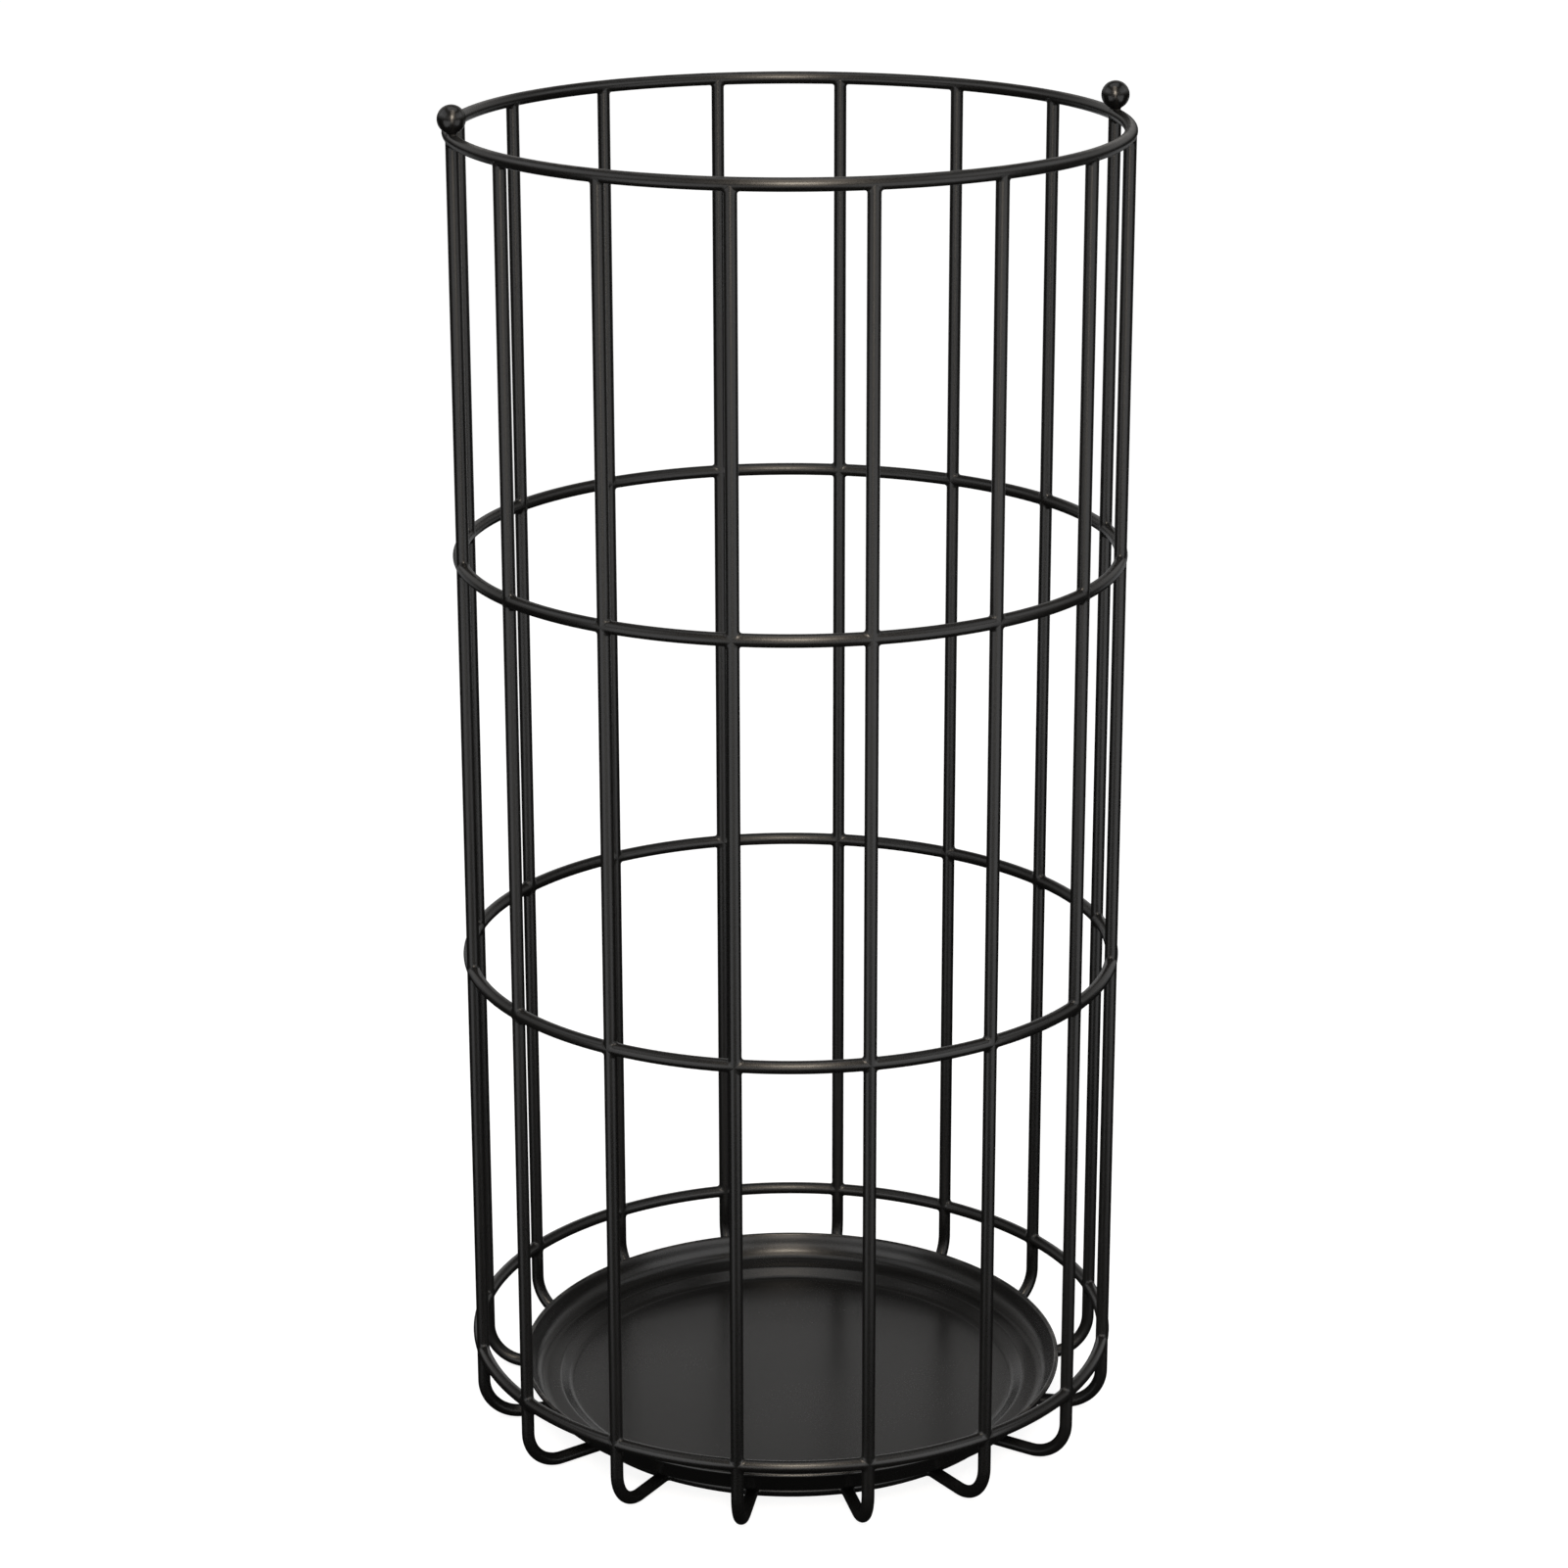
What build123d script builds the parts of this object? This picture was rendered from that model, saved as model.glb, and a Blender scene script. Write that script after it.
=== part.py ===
from build123d import *
from math import cos, pi, radians, sin, tan
import os

# Umbrella stand: a round cage of welded black wire on sixteen bent-in feet, two ball finials on
# the top ring, and a loose stepped drip tray nested in the base ring. Millimetres, +Z up.
# The origin is on the cage axis at floor level. The finials stand on the +X and -X sides.

# Driving sizes.
CAGE_D = 250.0  # over the outsides of the uprights
CAGE_H = 503.5  # floor to the crown of the top ring
WIRE_D = 4.8  # every wire of the cage
UPRIGHTS = 16
LOWEST_RING_Z = 30.1  # centreline of the lowest of the four hoops
FOOT_BEND_R = 14.7  # centreline radius where an upright turns in to be a foot
BASE_RING_D = 178.2  # centreline diameter of the ring that the feet end on
FINIAL_D = 10.4
FINIAL_SINK = 0.4  # how far a ball is pressed into the crown of the top ring
TRAY_TO_CAGE = 14.8  # free ring-shaped gap between the tray rim and the insides of the uprights
TRAY_H = 13.5  # underside of the tray floor to the top of its rolled rim
SHEET_T = 0.8
RIM_BEAD_D = 2.0
STEP_SLOPE = 36.0  # degrees above level, where the tray steps over the base ring
STEP_RUN = 4.7  # how far that step reaches outward
WALL_LEAN = 25.0  # degrees from upright
WALL_FILLET_R = 4.0  # underside of the bend between ledge and wall
STEP_FILLET_R = 1.4  # underside of both bends of the step

# Clearances.
REST_GAP = 0.3  # tray step to base ring, where the tray rests
NEST_GAP = 0.3  # corner of the tray floor to the bore of the base ring, level
LAP_GAP = 0.02  # round the notches where two wires cross or one ends on another

# Derived sizes.
WIRE_R = WIRE_D / 2
CAGE_R = (CAGE_D - WIRE_D) / 2  # centreline of hoops and uprights
TOP_RING_Z = CAGE_H - WIRE_R
RING_PITCH = (TOP_RING_Z - LOWEST_RING_Z) / 3
BASE_RING_R = BASE_RING_D / 2
STEP_ANGLE = radians(STEP_SLOPE)
STEP_FOOT_R = BASE_RING_R - WIRE_R + NEST_GAP
STEP_REACH = (BASE_RING_R - STEP_FOOT_R) * sin(STEP_ANGLE)
FLOOR_Z = WIRE_R + (WIRE_R + REST_GAP - STEP_REACH) / cos(STEP_ANGLE)  # underside of the tray
LEDGE_Z = FLOOR_Z + STEP_RUN * tan(STEP_ANGLE)
BEAD_R = RIM_BEAD_D / 2
RIM_R = CAGE_R - WIRE_R - TRAY_TO_CAGE  # outermost radius of the rolled rim
BEAD_X = RIM_R - BEAD_R
BEAD_Z = FLOOR_Z + TRAY_H - BEAD_R
WALL_ANGLE = radians(WALL_LEAN)
WALL_TOP_R = BEAD_X + SHEET_T / 2 * cos(WALL_ANGLE)  # the sheet's middle runs into the bead's centre
WALL_TOP_Z = BEAD_Z - SHEET_T / 2 * sin(WALL_ANGLE)
WALL_FOOT_R = WALL_TOP_R - (WALL_TOP_Z - LEDGE_Z) * tan(WALL_ANGLE)

os.makedirs("parts", exist_ok=True)


def save(name, solid):
    solid.label = name
    export_step(solid, "parts/" + name + ".step")


def ring(radius, height, gap=0):
    return Pos(0, 0, height) * Torus(radius, WIRE_R + gap)


def upright_notches(height):
    """What a hoop at this height gives up: the inner half of each crossing, which the upright keeps."""
    post = Pos(CAGE_R, 0, height) * Cylinder(WIRE_R + LAP_GAP, 3 * WIRE_D)
    core = Pos(0, 0, height) * Cylinder(CAGE_R, 4 * WIRE_D)
    notch = post & core
    return [Rot(0, 0, 360 * i / UPRIGHTS) * notch for i in range(UPRIGHTS)]


def hoop_notch(height):
    """What an upright gives up at this height: the outer half of the crossing, which the hoop keeps."""
    core = Pos(0, 0, height) * Cylinder(CAGE_R, 4 * WIRE_D)
    return ring(CAGE_R, height, LAP_GAP) - core


def upright_wire():
    """One wire on the +X side: a straight post, a bend and a level foot that ends on the base ring."""
    corner = CAGE_R - FOOT_BEND_R
    post = Edge.make_line((CAGE_R, 0, TOP_RING_Z), (CAGE_R, 0, WIRE_R + FOOT_BEND_R))
    middle = (corner + FOOT_BEND_R * cos(pi / 4), 0, WIRE_R + FOOT_BEND_R * (1 - sin(pi / 4)))
    bend = Edge.make_three_point_arc(post @ 1, middle, (corner, 0, WIRE_R))
    foot = Edge.make_line(bend @ 1, (BASE_RING_R, 0, WIRE_R))
    section = Plane(origin=post @ 0, z_dir=(0, 0, -1)) * Circle(WIRE_R)
    wire = sweep(section, path=Wire([post, bend, foot]))
    wire -= ring(CAGE_R, TOP_RING_Z, LAP_GAP)
    for i in range(3):
        wire -= hoop_notch(LOWEST_RING_Z + i * RING_PITCH)
    wire -= ring(BASE_RING_R, WIRE_R, LAP_GAP)
    return max(wire.solids(), key=lambda s: s.volume)


def tray():
    """A spun dish: flat floor, step over the base ring, level ledge, leaning wall, rolled rim."""
    under = FilletPolyline(
        (STEP_FOOT_R - 20, 0, FLOOR_Z),
        (STEP_FOOT_R, 0, FLOOR_Z),
        (STEP_FOOT_R + STEP_RUN, 0, LEDGE_Z),
        (STEP_FOOT_R + STEP_RUN + 3, 0, LEDGE_Z),
        radius=STEP_FILLET_R,
    )
    shoulder = FilletPolyline(
        (STEP_FOOT_R + STEP_RUN + 3, 0, LEDGE_Z),
        (WALL_FOOT_R, 0, LEDGE_Z),
        (WALL_TOP_R, 0, WALL_TOP_Z),
        radius=WALL_FILLET_R,
    )
    centre = Edge.make_line((0, 0, FLOOR_Z), (STEP_FOOT_R - 20, 0, FLOOR_Z))
    path = Wire([centre] + list(under.edges()) + list(shoulder.edges()))
    section = Face(path.offset_2d(SHEET_T, side=Side.RIGHT, closed=True))
    bead = Plane(origin=(BEAD_X, 0, BEAD_Z), z_dir=(0, -1, 0)) * Circle(BEAD_R)
    dish = revolve(section, Axis.Z) + revolve(bead, Axis.Z)
    return dish.solids()[0]


wire = upright_wire()
for i in range(UPRIGHTS):
    save(f"upright_{i + 1:02d}", Rot(0, 0, 360 * i / UPRIGHTS) * wire)

for i, name in enumerate(("lower_ring", "lower_middle_ring", "upper_middle_ring")):
    height = LOWEST_RING_Z + i * RING_PITCH
    hoop = ring(CAGE_R, height) - upright_notches(height)
    save(name, hoop.solids()[0])

top_ring = ring(CAGE_R, TOP_RING_Z)
save("top_ring", top_ring)
save("base_ring", ring(BASE_RING_R, WIRE_R))

for name, side in (("finial_right", 1), ("finial_left", -1)):
    centre = (side * CAGE_R, 0, TOP_RING_Z + WIRE_R + FINIAL_D / 2 - FINIAL_SINK)
    ball = Pos(*centre) * Sphere(FINIAL_D / 2) - top_ring
    save(name, ball.solids()[0])

save("drip_tray", tray())
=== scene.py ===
from math import atan2, cos, degrees, pi, radians, sin, tan
import bpy
import numpy as np
from mathutils import Matrix, Vector


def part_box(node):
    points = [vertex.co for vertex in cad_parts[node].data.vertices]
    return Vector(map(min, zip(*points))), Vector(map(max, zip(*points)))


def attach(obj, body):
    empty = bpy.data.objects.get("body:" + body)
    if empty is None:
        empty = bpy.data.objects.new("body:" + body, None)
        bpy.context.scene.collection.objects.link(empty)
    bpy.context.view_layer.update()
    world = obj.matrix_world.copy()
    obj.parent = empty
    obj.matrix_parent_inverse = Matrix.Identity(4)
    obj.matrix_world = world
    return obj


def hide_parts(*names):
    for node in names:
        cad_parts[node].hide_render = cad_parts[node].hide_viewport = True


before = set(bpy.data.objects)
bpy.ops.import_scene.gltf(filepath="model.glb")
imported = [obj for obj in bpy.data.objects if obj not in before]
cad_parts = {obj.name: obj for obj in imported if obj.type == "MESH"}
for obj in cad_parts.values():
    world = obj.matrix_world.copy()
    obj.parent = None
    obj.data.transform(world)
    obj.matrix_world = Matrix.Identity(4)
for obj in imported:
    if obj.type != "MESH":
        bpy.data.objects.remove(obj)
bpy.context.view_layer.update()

# Umbrella stand: a welded cage of black powder-coated wire, two ball finials and a loose drip tray.
# Every piece is a mesh made here, in metres, in the one frame that all the CAD parts share.
MM = 0.001

# ---------------------------------------------------------------- sizes from the frame's boxes
UPRIGHTS = sum(name.startswith("upright_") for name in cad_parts)
SECTOR = 2 * pi / UPRIGHTS
top_lo, top_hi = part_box("top_ring")
WIRE_R = (top_hi.z - top_lo.z) / 2
CAGE_R = top_hi.x - WIRE_R
TOP_Z = top_hi.z - WIRE_R
base_lo, base_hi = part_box("base_ring")
BASE_R = base_hi.x - WIRE_R
BASE_Z = (base_lo.z + base_hi.z) / 2
HOOPS = ("lower_ring", "lower_middle_ring", "upper_middle_ring")
HOOP_Z = [sum(corner.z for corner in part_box(name)) / 2 for name in HOOPS]

# ---------------------------------------------------------------- sizes that the boxes don't show
FOOT_BEND_R = 14.7 * MM
SHEET = 0.8 * MM
BEAD_R = 1.0 * MM
WALL_LEAN = radians(25)  # from upright
STEP_SLOPE = radians(36)  # above level
STEP_RUN = 4.7 * MM
NEST_GAP = 0.3 * MM  # corner of the tray floor to the bore of the base ring
UNDER_FILLETS = (1.4 * MM, 1.4 * MM, 4.0 * MM)  # foot of the step, top of the step, foot of the wall
OVER_FILLETS = (5.0 * MM, 2.4 * MM, 6.0 * MM)  # the same three on the upper face
ROLL_FROM, ROLL_SWEEP = -128, 218  # degrees round the bead, counted from straight up the wall
SWELL_RUN = 5.0 * MM  # how far down the wall's inner face the swell into the rim reaches

# Welds.
WELD = 1.1 * MM  # reach of the smooth fillet where two wires meet
BALL_WELD = 1.3 * MM
MOST_LIFT = 0.42  # no fillet lifts a surface by more than this share of its reach
FADE = 0.5  # share of the reach over which the fillet of a buried point fades out
HALVINGS = 18

# Facets.
AROUND = 48  # round a wire
POST_END, FOOT_END = 0.4 * MM, 0.5 * MM  # from an upright's two ends to the middles of their rings
POST_FINE = 0.7 * MM  # from the middle of the top ring down to the first of the fine rows
NEAR = WIRE_R + 1.4 * MM  # the stretch each side of a crossing that needs fine facets
FINE = 0.28 * MM
HOOP_STEP = 4 * MM
POST_STEP = 9 * MM
FOOT_STEP = 3 * MM
BEND_ROWS = 28
HOLD = 0.25 * MM  # a row this close to each fillet of the tray keeps the flat parts flat in the light
ROLL_ROWS = 36
SWELL_ROWS = 10
TRAY_AROUND = 320
BALL_AROUND = 72
BALL_ROWS = 60


# ---------------------------------------------------------------- distance to the neighbouring wires
def ring_field(radius, height):
    """Distance to a ring's surface at each point, and the direction away from the ring."""
    def field(p):
        rho = np.hypot(p[:, 0], p[:, 1])
        u, w = rho - radius, p[:, 2] - height
        q = np.maximum(np.hypot(u, w), 1e-9)
        n = np.stack([u / q * p[:, 0] / rho, u / q * p[:, 1] / rho, w / q], 1)
        return q - WIRE_R, n
    return field


def post_field(p):
    """The upright on the +X side, which ends inside the top ring."""
    v = np.stack([p[:, 0] - CAGE_R, p[:, 1], np.maximum(p[:, 2] - TOP_Z, 0)], 1)
    q = np.maximum(np.linalg.norm(v, axis=1), 1e-9)
    return q - WIRE_R, v / q[:, None]


def foot_field(p):
    """The foot on the +X side, which ends inside the base ring."""
    v = np.stack([np.minimum(p[:, 0] - BASE_R, 0), p[:, 1], p[:, 2] - WIRE_R], 1)
    q = np.maximum(np.linalg.norm(v, axis=1), 1e-9)
    return q - WIRE_R, v / q[:, None]


def ball_field(centre, radius):
    def field(p):
        v = p - centre
        q = np.maximum(np.linalg.norm(v, axis=1), 1e-9)
        return q - radius, v / q[:, None]
    return field


def weld(points, normals, field, reach):
    """Moves a surface out along its normals to a smooth fillet with its neighbour."""
    start, toward = field(points)
    facing = np.sum(normals * toward, axis=1)
    k = np.maximum(reach * (1 - np.maximum(facing, 0) ** 2), 1e-7)

    def join(t):
        d = field(points + normals * t[:, None])[0]
        return np.minimum(t, d) - np.maximum(k - np.abs(t - d), 0) ** 2 / (4 * k), d

    low, high = np.zeros(len(points)), MOST_LIFT * k
    # A surface that faces its neighbour lifts no further than halfway to it.
    meet_low, meet_high = np.zeros(len(points)), high.copy()
    for _ in range(HALVINGS):
        middle = (meet_low + meet_high) / 2
        before = join(middle)[1] > middle
        meet_low, meet_high = np.where(before, middle, meet_low), np.where(before, meet_high, middle)
    high = np.where(facing < 0, meet_low, high)
    for _ in range(HALVINGS):
        middle = (low + high) / 2
        inside = join(middle)[0] < 0
        low, high = np.where(inside, middle, low), np.where(inside, high, middle)
    lift = np.where(start < 0, low * np.clip(1 + start / (FADE * k), 0, 1), low)
    lift = np.where(start > k, 0, lift)
    return points + normals * lift[:, None]


# ---------------------------------------------------------------- mesh helpers
def mesh_piece(name, points, faces):
    mesh = bpy.data.meshes.new(name)
    mesh.from_pydata([tuple(p) for p in points], [], faces)
    mesh.validate()
    mesh.update()
    mesh.polygons.foreach_set("use_smooth", [True] * len(mesh.polygons))
    piece = bpy.data.objects.new(name, mesh)
    bpy.context.scene.collection.objects.link(piece)
    return piece


def quads(rows, columns, wrap_rows):
    """Faces between neighbouring closed rows of points. On the rows of a wire they face outward."""
    faces = []
    for i in range(rows if wrap_rows else rows - 1):
        a, b = i * columns, (i + 1) % rows * columns
        for j in range(columns):
            k = (j + 1) % columns
            faces.append((b + j, b + k, a + k, a + j))
    return faces


def spaced(low, high, step):
    return list(np.linspace(low, high, max(2, round((high - low) / step) + 1)))


def spun(points, i):
    a = i * SECTOR
    turn = np.array([[cos(a), -sin(a), 0], [sin(a), cos(a), 0], [0, 0, 1]])
    return points @ turn.T


# ---------------------------------------------------------------- shapes of the cage
def ring_points(radius, height, neighbour):
    """One sector of a ring, welded to its upright or foot, then repeated all the way round."""
    near = NEAR / radius
    angles = spaced(-SECTOR / 2, -near, HOOP_STEP / radius)[:-1]
    angles += spaced(-near, near, FINE / radius) + spaced(near, SECTOR / 2, HOOP_STEP / radius)[1:-1]
    rows, outs = [], []
    for a in angles:
        for j in range(AROUND):
            f = 2 * pi * j / AROUND
            n = (cos(f) * cos(a), cos(f) * sin(a), sin(f))
            rows.append((radius * cos(a) + WIRE_R * n[0], radius * sin(a) + WIRE_R * n[1],
                         height + WIRE_R * n[2]))
            outs.append(n)
    p, n = weld(np.array(rows), np.array(outs), neighbour, WELD), np.array(outs)
    points = np.concatenate([spun(p, i) for i in range(UPRIGHTS)])
    normals = np.concatenate([spun(n, i) for i in range(UPRIGHTS)])
    return points, normals, len(angles) * UPRIGHTS


def upright_path():
    """Centres and outward directions down the +X wire: post, bend and foot, finer at each crossing."""
    corner_x, corner_z = CAGE_R - FOOT_BEND_R, WIRE_R + FOOT_BEND_R
    below = TOP_Z - NEAR
    heights = [TOP_Z - POST_END] + spaced(below, TOP_Z - POST_FINE, FINE)[::-1]
    for z in sorted(HOOP_Z, reverse=True):
        heights += spaced(z + NEAR, below, POST_STEP)[::-1][1:-1]
        heights += spaced(z - NEAR, z + NEAR, FINE)[::-1]
        below = z - NEAR
    heights += spaced(corner_z, below, FOOT_STEP)[::-1][1:]
    path = [((CAGE_R, 0, z), (1, 0, 0)) for z in heights]
    for i in range(1, BEND_ROWS + 1):
        a = pi / 2 * i / BEND_ROWS
        n = (cos(a), 0, -sin(a))
        path.append(((corner_x + FOOT_BEND_R * n[0], 0, corner_z + FOOT_BEND_R * n[2]), n))
    along_foot = spaced(BASE_R + NEAR, corner_x, FOOT_STEP)[::-1][1:-1]
    along_foot += spaced(BASE_R + FOOT_END, BASE_R + NEAR, FINE)[::-1]
    return path + [((x, 0, WIRE_R), (0, 0, -1)) for x in along_foot]


def upright_shape():
    """The +X wire with its welds: points, then the middles of its two ends, and the faces."""
    path = upright_path()
    rows, outs = [], []
    for centre, n in path:
        for j in range(AROUND):
            f = 2 * pi * j / AROUND
            out = (cos(f) * n[0], sin(f), cos(f) * n[2])
            rows.append([c + WIRE_R * o for c, o in zip(centre, out)])
            outs.append(out)
    p, n = np.array(rows), np.array(outs)
    for field in [ring_field(CAGE_R, z) for z in HOOP_Z + [TOP_Z]] + [ring_field(BASE_R, BASE_Z)]:
        p = weld(p, n, field, WELD)
    ends = np.array([path[0][0], path[-1][0]])
    last, top_end, foot_end = (len(path) - 1) * AROUND, len(p), len(p) + 1
    faces = quads(len(path), AROUND, False)
    faces += [(j, (j + 1) % AROUND, top_end) for j in range(AROUND)]
    faces += [(last + (j + 1) % AROUND, last + j, foot_end) for j in range(AROUND)]
    return np.concatenate([p, ends]), faces


def ball_shape(centre, radius):
    """A turned ball with its poles up and down, its rows slightly closer together near the top."""
    tilt = [pi * (i / BALL_ROWS) ** 0.85 for i in range(1, BALL_ROWS)]
    points, normals = [], []
    for t in tilt:
        for j in range(BALL_AROUND):
            a = 2 * pi * j / BALL_AROUND
            n = (sin(t) * cos(a), sin(t) * sin(a), -cos(t))
            points.append([c + radius * v for c, v in zip(centre, n)])
            normals.append(n)
    p = weld(np.array(points), np.array(normals), ring_field(CAGE_R, TOP_Z), BALL_WELD)
    poles = np.array([centre, centre]) + np.array([(0, 0, -radius), (0, 0, radius)])
    low, high, last = len(p), len(p) + 1, (len(tilt) - 1) * BALL_AROUND
    # The rows run upward here, so the faces turn over.
    faces = [face[::-1] for face in quads(len(tilt), BALL_AROUND, False)]
    faces += [(low, (j + 1) % BALL_AROUND, j) for j in range(BALL_AROUND)]
    faces += [(high, last + j, last + (j + 1) % BALL_AROUND) for j in range(BALL_AROUND)]
    return np.concatenate([p, poles]), faces


# ---------------------------------------------------------------- shape of the tray
def arc_path(corners, radii):
    """A run of straight lines with filleted corners, as (r, z) points."""
    out = [corners[0]]
    for i in range(1, len(corners) - 1):
        a, b, c = (np.array(corners[j]) for j in (i - 1, i, i + 1))
        u, v = (a - b) / np.linalg.norm(a - b), (c - b) / np.linalg.norm(c - b)
        half = np.arccos(np.clip(u @ v, -1, 1)) / 2
        r = radii[i - 1]
        centre = b + (u + v) / np.linalg.norm(u + v) * r / sin(half)
        start, end = b + u * r / tan(half), b + v * r / tan(half)
        from_angle, to_angle = atan2(*(start - centre)[::-1]), atan2(*(end - centre)[::-1])
        sweep = (to_angle - from_angle + pi) % (2 * pi) - pi
        steps = max(6, round(abs(degrees(sweep)) / 5))
        out.append(tuple(start + u * HOLD))
        for q in range(steps + 1):
            turn = from_angle + sweep * q / steps
            out.append(tuple(centre + r * np.array((cos(turn), sin(turn)))))
        out.append(tuple(end + v * HOLD))
    return out + [corners[-1]]


def rim_points(centre, along, outward):
    """Up the wall's back into the rolled rim, round it, and down the wall's inner face."""
    back_corner = ((0.02, 1.35), (0.10, 1.02), (0.24, 0.80))  # out and down, in millimetres
    points = [tuple(centre + outward * (SHEET / 2 + out * MM) - along * down * MM)
              for out, down in back_corner]
    for i in range(ROLL_ROWS + 1):
        a = radians(ROLL_FROM + ROLL_SWEEP * i / ROLL_ROWS)
        points.append(tuple(centre + BEAD_R * (along * cos(a) - outward * sin(a))))
    for i in range(1, SWELL_ROWS + 1):
        swell = (BEAD_R - SHEET / 2) * (1 + cos(pi * i / SWELL_ROWS)) / 2
        down = SWELL_RUN * i / SWELL_ROWS
        points.append(tuple(centre - outward * (SHEET / 2 + swell) - along * down))
    return points


def tray_profile():
    """Pressed dish: floor, step over the base ring, ledge, leaning wall and rolled rim."""
    lo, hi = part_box("drip_tray")
    floor, ledge = lo.z, lo.z + STEP_RUN * tan(STEP_SLOPE)
    bead_r, bead_z = hi.x - BEAD_R, hi.z - BEAD_R
    step = BASE_R - WIRE_R + NEST_GAP
    wall_top = (bead_r + SHEET / 2 * cos(WALL_LEAN), bead_z - SHEET / 2 * sin(WALL_LEAN))
    wall_foot = (wall_top[0] - (wall_top[1] - ledge) * tan(WALL_LEAN), ledge)
    corners = [(0, floor), (step, floor), (step + STEP_RUN, ledge), wall_foot, wall_top]
    # The upper face is the same run, moved in by the sheet's thickness.
    turns = [0, STEP_SLOPE, 0, pi / 2 - WALL_LEAN]
    upper = [(0, floor + SHEET)]
    for i in (1, 2, 3):
        a, b = turns[i - 1], turns[i]
        bisect = (a + b) / 2
        grow = SHEET / cos((b - a) / 2)
        x, z = corners[i]
        upper.append((x - sin(bisect) * grow, z + cos(bisect) * grow))
    upper.append((wall_top[0] - SHEET * cos(WALL_LEAN), wall_top[1] + SHEET * sin(WALL_LEAN)))
    along = np.array((sin(WALL_LEAN), cos(WALL_LEAN)))
    outward = np.array((cos(WALL_LEAN), -sin(WALL_LEAN)))
    centre = np.array((bead_r, bead_z))
    under = arc_path(corners, UNDER_FILLETS)[1:-1]
    over = arc_path(upper, OVER_FILLETS)[1:-1]
    # Two more rings of points on the floor keep its faces from being long slivers.
    floor_rings = (30 * MM, 60 * MM)
    return (corners[:1] + [(r, floor) for r in floor_rings] + under + rim_points(centre, along, outward)
            + over[::-1] + [(r, floor + SHEET) for r in floor_rings[::-1]] + upper[:1])


def lathe(name, profile, segments):
    """Spins a closed (r, z) profile that starts and ends on the axis."""
    inner = profile[1:-1]
    points = [(0, 0, profile[0][1]), (0, 0, profile[-1][1])]
    for i in range(segments):
        a = 2 * pi * i / segments
        points += [(r * cos(a), r * sin(a), z) for r, z in inner]
    faces, n = [], len(inner)
    for i in range(segments):
        a, b = 2 + i * n, 2 + (i + 1) % segments * n
        faces.append((0, b, a))
        faces.append((1, a + n - 1, b + n - 1))
        faces += [(a + j, b + j, b + j + 1, a + j + 1) for j in range(n - 1)]
    return mesh_piece(name, points, faces)


# ---------------------------------------------------------------- node helpers
def link(tree, source, target):
    tree.links.new(source, target)


def node(tree, kind, **values):
    n = tree.nodes.new(kind)
    for key, value in values.items():
        if hasattr(n, key):
            setattr(n, key, value)
        else:
            n.inputs[key.replace("_", " ")].default_value = value
    return n


def noise(tree, where, scale, detail, rough):
    n = node(tree, "ShaderNodeTexNoise", Scale=scale, Detail=detail, Roughness=rough)
    link(tree, where, n.inputs["Vector"])
    return n.outputs["Fac"]


def spread(tree, value, low, high, to_low, to_high):
    n = tree.nodes.new("ShaderNodeMapRange")
    n.inputs["From Min"].default_value, n.inputs["From Max"].default_value = low, high
    n.inputs["To Min"].default_value, n.inputs["To Max"].default_value = to_low, to_high
    link(tree, value, n.inputs["Value"])
    return n.outputs["Result"]


def combine(tree, how, a, b):
    n = node(tree, "ShaderNodeMath", operation=how)
    for value, socket in ((a, n.inputs[0]), (b, n.inputs[1])):
        if isinstance(value, float):
            socket.default_value = value
        else:
            link(tree, value, socket)
    return n.outputs[0]


def blend_colour(tree, amount, a, b):
    n = node(tree, "ShaderNodeMix", data_type="RGBA")
    link(tree, amount, n.inputs["Factor"])
    for value, socket in ((a, n.inputs[6]), (b, n.inputs[7])):
        if isinstance(value, tuple):
            socket.default_value = (*value, 1)
        else:
            link(tree, value, socket)
    return n.outputs[2]


# ---------------------------------------------------------------- powder-coat materials
CLOUD_SCALE = 14.0  # noise scales are per metre
PATCH_SCALE = 130.0
SKIN_SCALE = 560.0
GRAIN_SCALE = 2100.0
RUBBED = (0.10, 0.097, 0.092)  # colour where the coat is rubbed thin
COAT_IOR = 1.52


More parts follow.
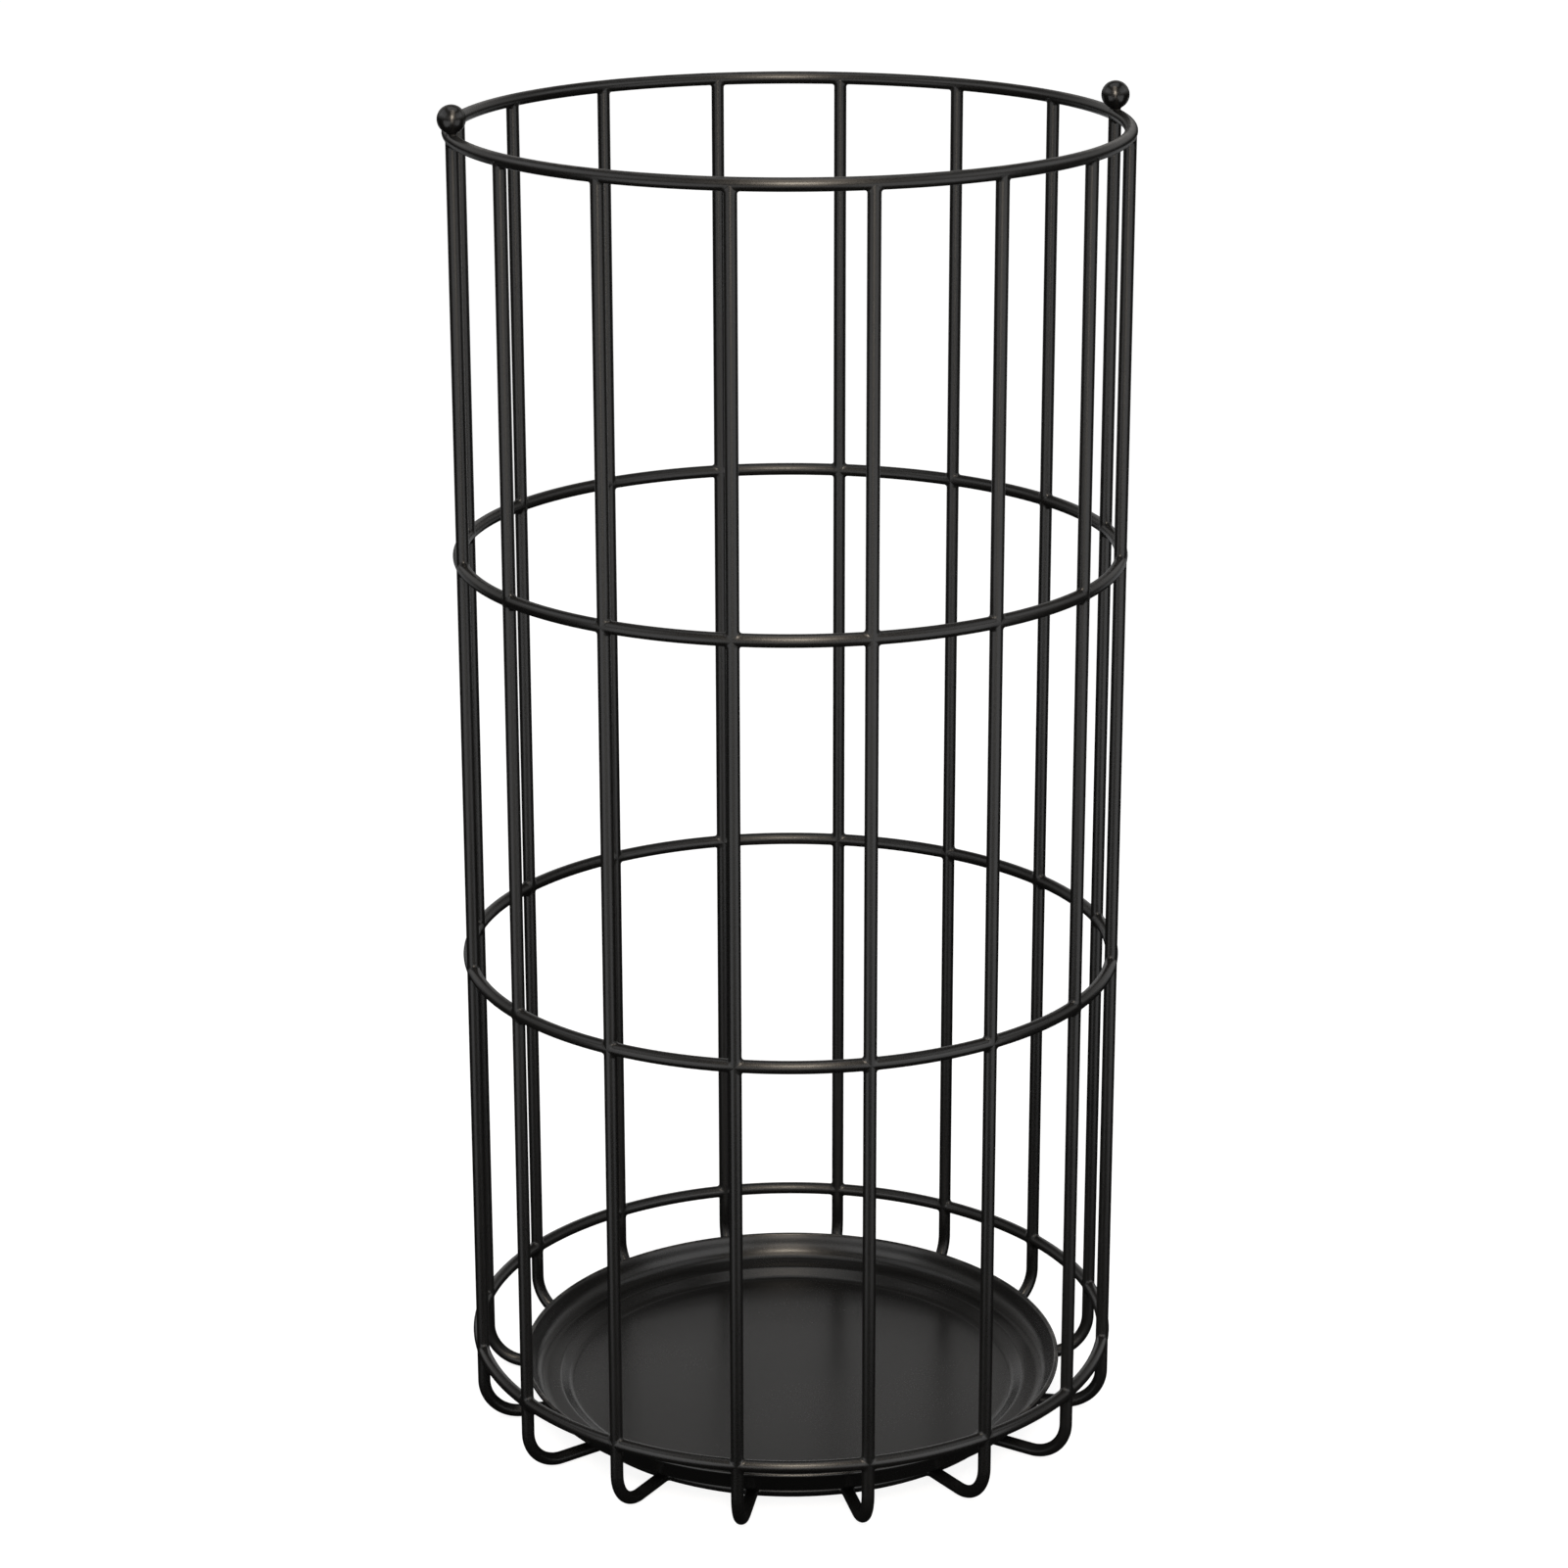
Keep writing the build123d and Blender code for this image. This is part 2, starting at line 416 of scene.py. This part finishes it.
def powder_coat(name, dark, light, rough, grain, peel, rub_from, rub_to, wear):
    """Satin black powder coat: cloudy tone, fine grain, orange peel, and a coat that is rubbed
    thin in patches between two heights."""
    material = bpy.data.materials.new(name)
    material.use_nodes = True
    tree = material.node_tree
    tree.nodes.clear()
    where = node(tree, "ShaderNodeTexCoord").outputs["Object"]
    cloud = noise(tree, where, CLOUD_SCALE, 3.0, 0.55)
    fine = noise(tree, where, GRAIN_SCALE, 2.0, 0.6)
    skin = noise(tree, where, SKIN_SCALE, 2.0, 0.45)
    tone = combine(tree, "ADD", spread(tree, cloud, 0.35, 0.65, 0.0, 0.6),
                   spread(tree, fine, 0.35, 0.65, 0.0, 0.4))
    colour = blend_colour(tree, tone, dark, light)
    roughness = combine(tree, "ADD", spread(tree, fine, 0.3, 0.7, rough - 0.03, rough + 0.04),
                        spread(tree, cloud, 0.3, 0.7, -0.025, 0.025))
    height = node(tree, "ShaderNodeSeparateXYZ")
    link(tree, where, height.inputs[0])
    edge = spread(tree, height.outputs["Z"], rub_from, rub_to, 0.0, 1.0)
    patchy = spread(tree, noise(tree, where, PATCH_SCALE, 5.0, 0.65), 0.46, 0.60, 0.0, wear)
    rubbed = combine(tree, "MULTIPLY", edge, patchy)
    colour = blend_colour(tree, rubbed, colour, RUBBED)
    roughness = combine(tree, "SUBTRACT", roughness, combine(tree, "MULTIPLY", rubbed, 0.08))
    bump_skin = node(tree, "ShaderNodeBump", Strength=1.0, Distance=peel)
    link(tree, skin, bump_skin.inputs["Height"])
    bump_fine = node(tree, "ShaderNodeBump", Strength=1.0, Distance=grain)
    link(tree, fine, bump_fine.inputs["Height"])
    link(tree, bump_skin.outputs["Normal"], bump_fine.inputs["Normal"])
    shader = node(tree, "ShaderNodeBsdfPrincipled", Metallic=0.0, IOR=COAT_IOR)
    link(tree, colour, shader.inputs["Base Color"])
    link(tree, roughness, shader.inputs["Roughness"])
    link(tree, bump_fine.outputs["Normal"], shader.inputs["Normal"])
    out = node(tree, "ShaderNodeOutputMaterial")
    link(tree, shader.outputs["BSDF"], out.inputs["Surface"])
    return material


rim_z, ball_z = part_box("drip_tray")[1].z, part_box("finial_right")[1].z
UPRIGHT_COAT = powder_coat(
    "upright_coat", (0.0032, 0.0032, 0.0031), (0.0068, 0.0067, 0.0065), rough=0.29, grain=2.6e-6,
    peel=10e-6, rub_from=1.6 * MM, rub_to=0.3 * MM, wear=0.6)
RING_COAT = powder_coat(
    "ring_coat", (0.0032, 0.0031, 0.0030), (0.0068, 0.0066, 0.0064), rough=0.28, grain=2.6e-6,
    peel=10e-6, rub_from=TOP_Z + WIRE_R - 0.5 * MM, rub_to=TOP_Z + WIRE_R, wear=0.35)
BALL_COAT = powder_coat(
    "ball_coat", (0.0032, 0.0031, 0.0031), (0.0064, 0.0063, 0.0062), rough=0.23, grain=2.2e-6,
    peel=8e-6, rub_from=ball_z - 2.0 * MM, rub_to=ball_z, wear=0.25)
TRAY_COAT = powder_coat(
    "tray_coat", (0.0034, 0.0034, 0.0033), (0.0072, 0.0071, 0.0069), rough=0.23, grain=2.8e-6,
    peel=13e-6, rub_from=rim_z - 0.6 * MM, rub_to=rim_z, wear=0.4)


# ---------------------------------------------------------------- the pieces
def place(piece, cad_node, body, material):
    piece.data.materials.append(material)
    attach(piece, body)
    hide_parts(cad_node)


def ring(name, radius, height, neighbour, balls=()):
    points, normals, rows = ring_points(radius, height, neighbour)
    for centre, ball_radius in balls:
        points = weld(points, normals, ball_field(centre, ball_radius), BALL_WELD)
    piece = mesh_piece(name + "_wire", points, quads(rows, AROUND, True))
    place(piece, name, "cage", RING_COAT)


def ball_place(name):
    lo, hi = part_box(name)
    radius = (hi.x - lo.x) / 2
    return np.array([(lo.x + hi.x) / 2, 0, hi.z - radius]), radius


wire, wire_faces = upright_shape()
for i in range(UPRIGHTS):
    name = f"upright_{i + 1:02d}"
    piece = mesh_piece(name + "_wire", spun(wire, i), wire_faces)
    place(piece, name, "cage", UPRIGHT_COAT)

balls = {name: ball_place(name) for name in ("finial_right", "finial_left")}
for name, height in zip(HOOPS, HOOP_Z):
    ring(name, CAGE_R, height, post_field)
ring("top_ring", CAGE_R, TOP_Z, post_field, balls.values())
ring("base_ring", BASE_R, BASE_Z, foot_field)

for name, (centre, radius) in balls.items():
    points, faces = ball_shape(centre, radius)
    place(mesh_piece(name + "_ball", points, faces), name, "cage", BALL_COAT)

tray = lathe("drip_tray_dish", tray_profile(), TRAY_AROUND)
place(tray, "drip_tray", "tray", TRAY_COAT)


# ---------------------------------------------------------------- floor and surroundings
def pale_floor():
    """A plain pale floor, clear from below, that stays out of the coat's reflections."""
    half = 30  # metres
    mesh = bpy.data.meshes.new("floor")
    mesh.from_pydata([(-half, -half, 0), (half, -half, 0), (half, half, 0), (-half, half, 0)], [],
                     [(0, 1, 2, 3)])
    floor = bpy.data.objects.new("floor", mesh)
    floor.location.z = -0.2 * MM
    bpy.context.scene.collection.objects.link(floor)
    paper = bpy.data.materials.new("pale_floor")
    paper.use_nodes = True
    tree = paper.node_tree
    tree.nodes.clear()
    matte = node(tree, "ShaderNodeBsdfDiffuse")
    matte.inputs["Color"].default_value = (0.30, 0.30, 0.30, 1)
    glow = node(tree, "ShaderNodeEmission", Strength=0.88)
    both = node(tree, "ShaderNodeAddShader")
    link(tree, matte.outputs[0], both.inputs[0])
    link(tree, glow.outputs[0], both.inputs[1])
    clear = node(tree, "ShaderNodeBsdfTransparent")
    side = node(tree, "ShaderNodeMixShader")
    link(tree, node(tree, "ShaderNodeNewGeometry").outputs["Backfacing"], side.inputs[0])
    link(tree, both.outputs[0], side.inputs[1])
    link(tree, clear.outputs[0], side.inputs[2])
    link(tree, side.outputs[0], node(tree, "ShaderNodeOutputMaterial").inputs["Surface"])
    mesh.materials.append(paper)
    floor.visible_glossy = False
    floor.visible_diffuse = False
    floor.visible_shadow = False


def surroundings():
    """White behind the object. What the coat reflects besides the panels is a dark table, a dim
    wall behind it and a darker ceiling."""
    world = bpy.data.worlds.new("studio")
    bpy.context.scene.world = world
    world.use_nodes = True
    tree = world.node_tree
    tree.nodes.clear()
    seen = node(tree, "ShaderNodeBackground", Strength=1.0)
    seen.inputs["Color"].default_value = (1, 1, 1, 1)
    axes = node(tree, "ShaderNodeSeparateXYZ")
    link(tree, node(tree, "ShaderNodeTexCoord").outputs["Generated"], axes.inputs[0])
    dim = node(tree, "ShaderNodeBackground")
    dim.inputs["Color"].default_value = (1.0, 0.98, 0.96, 1)
    up = axes.outputs["Z"]
    wall = spread(tree, up, 0.0, 0.20, 0.010, 0.48)
    ceiling = spread(tree, up, 0.38, 0.72, 1.0, 0.14)
    link(tree, combine(tree, "MULTIPLY", wall, ceiling), dim.inputs["Strength"])
    mix = node(tree, "ShaderNodeMixShader")
    link(tree, node(tree, "ShaderNodeLightPath").outputs["Is Camera Ray"], mix.inputs[0])
    link(tree, dim.outputs[0], mix.inputs[1])
    link(tree, seen.outputs[0], mix.inputs[2])
    link(tree, mix.outputs[0], node(tree, "ShaderNodeOutputWorld").inputs["Surface"])


pale_floor()
surroundings()

# ---------------------------------------------------------------- lights
STAND = radians(-13.226)  # the camera stands a little to the left of the stand's front
COOL = (0.98, 0.99, 1.0)
SIDE = (0.99, 0.99, 1.0)
HIGH = (0.97, 0.98, 1.0)


def studio(x, y, z):
    """A point given as right, away and up from the stand as the camera sees it."""
    return Vector((x * cos(STAND) - y * sin(STAND), x * sin(STAND) + y * cos(STAND), z))


def softbox(name, place_at, look_at, width, height, radiance, colour):
    light = bpy.data.lights.new(name, "AREA")
    light.shape, light.size, light.size_y = "RECTANGLE", width, height
    light.energy = radiance * width * height * pi
    light.color = colour
    lamp = bpy.data.objects.new(name, light)
    lamp.location = studio(*place_at)
    lamp.rotation_mode = "QUATERNION"
    lamp.rotation_quaternion = (studio(*look_at) - studio(*place_at)).to_track_quat("-Z", "Y")
    lamp.visible_camera = False
    bpy.context.scene.collection.objects.link(lamp)


# In front and high at the sides: the broad soft highlight along the wires.
softbox("left_panel", (-0.50, -0.55, 0.12), (0, 0, 0.12), 0.55, 0.66, 1.1, SIDE)
softbox("right_panel", (0.52, -0.50, 0.17), (0, 0, 0.17), 0.65, 0.66, 1.15, SIDE)
softbox("front_panel", (0.0, -0.95, 0.14), (0, 0, 0.14), 0.85, 0.48, 0.80, (1.0, 0.99, 0.97))
softbox("left_high", (-0.70, -0.15, 0.95), (0, 0, 0.35), 0.9, 0.5, 0.75, HIGH)
softbox("right_high", (0.70, -0.15, 0.95), (0, 0, 0.35), 0.9, 0.5, 0.75, HIGH)
# A warm strip: the bright stretch on the rings and on the tray's back wall.
softbox("strip", (0.03, -0.62, 0.72), (0.03, 0.10, 0.0), 0.26, 1.45, 2.9, (1.0, 0.87, 0.73))
softbox("strip_core", (0.03, -0.78, 0.84), (0.0, 0.05, 0.0), 0.16, 0.38, 12.0, (1.0, 0.88, 0.72))
# Behind and above: keeps the sides, back and top from going flat.
softbox("back_left", (-0.66, 0.70, 0.17), (0, 0, 0.17), 0.50, 0.34, 0.25, COOL)
softbox("back_right", (0.66, 0.70, 0.17), (0, 0, 0.17), 0.50, 0.34, 0.32, COOL)
softbox("back_panel", (0, 0.95, 0.17), (0, 0, 0.17), 0.80, 0.34, 0.50, COOL)
softbox("overhead", (0, 0.10, 1.30), (0, 0.05, 0.0), 0.75, 0.60, 0.85, COOL)

sun = bpy.data.lights.new("sky_fill", "SUN")
sun.energy, sun.angle = 0.9, radians(60)
sky = bpy.data.objects.new("sky_fill", sun)
sky.rotation_euler = (radians(18), radians(-10), 0)
sky.visible_glossy = False
bpy.context.scene.collection.objects.link(sky)

# ---------------------------------------------------------------- camera
camera_data = bpy.data.cameras.new("camera")
camera_data.sensor_width, camera_data.lens = 36.0, 89.95
camera_data.shift_x, camera_data.shift_y = 0.0, -0.0744
camera_data.clip_start, camera_data.clip_end = 0.05, 60
camera = bpy.data.objects.new("camera", camera_data)
camera.location = studio(0, -1.40665, 0.72145)
pitch, yaw, roll = 0.292534, -0.001699, -0.001784  # radians: down, to the right, right side raised
ahead = studio(sin(yaw) * cos(pitch), cos(yaw) * cos(pitch), -sin(pitch))
right = ahead.cross(Vector((0, 0, 1))).normalized()
up = right.cross(ahead)
right, up = right * cos(roll) + up * sin(roll), up * cos(roll) - right * sin(roll)
camera.rotation_mode = "QUATERNION"
camera.rotation_quaternion = Matrix((right, up, -ahead)).transposed().to_quaternion()
bpy.context.scene.collection.objects.link(camera)
bpy.context.scene.camera = camera
bpy.context.scene.view_settings.view_transform = "Standard"
bpy.context.scene.view_settings.look = "None"
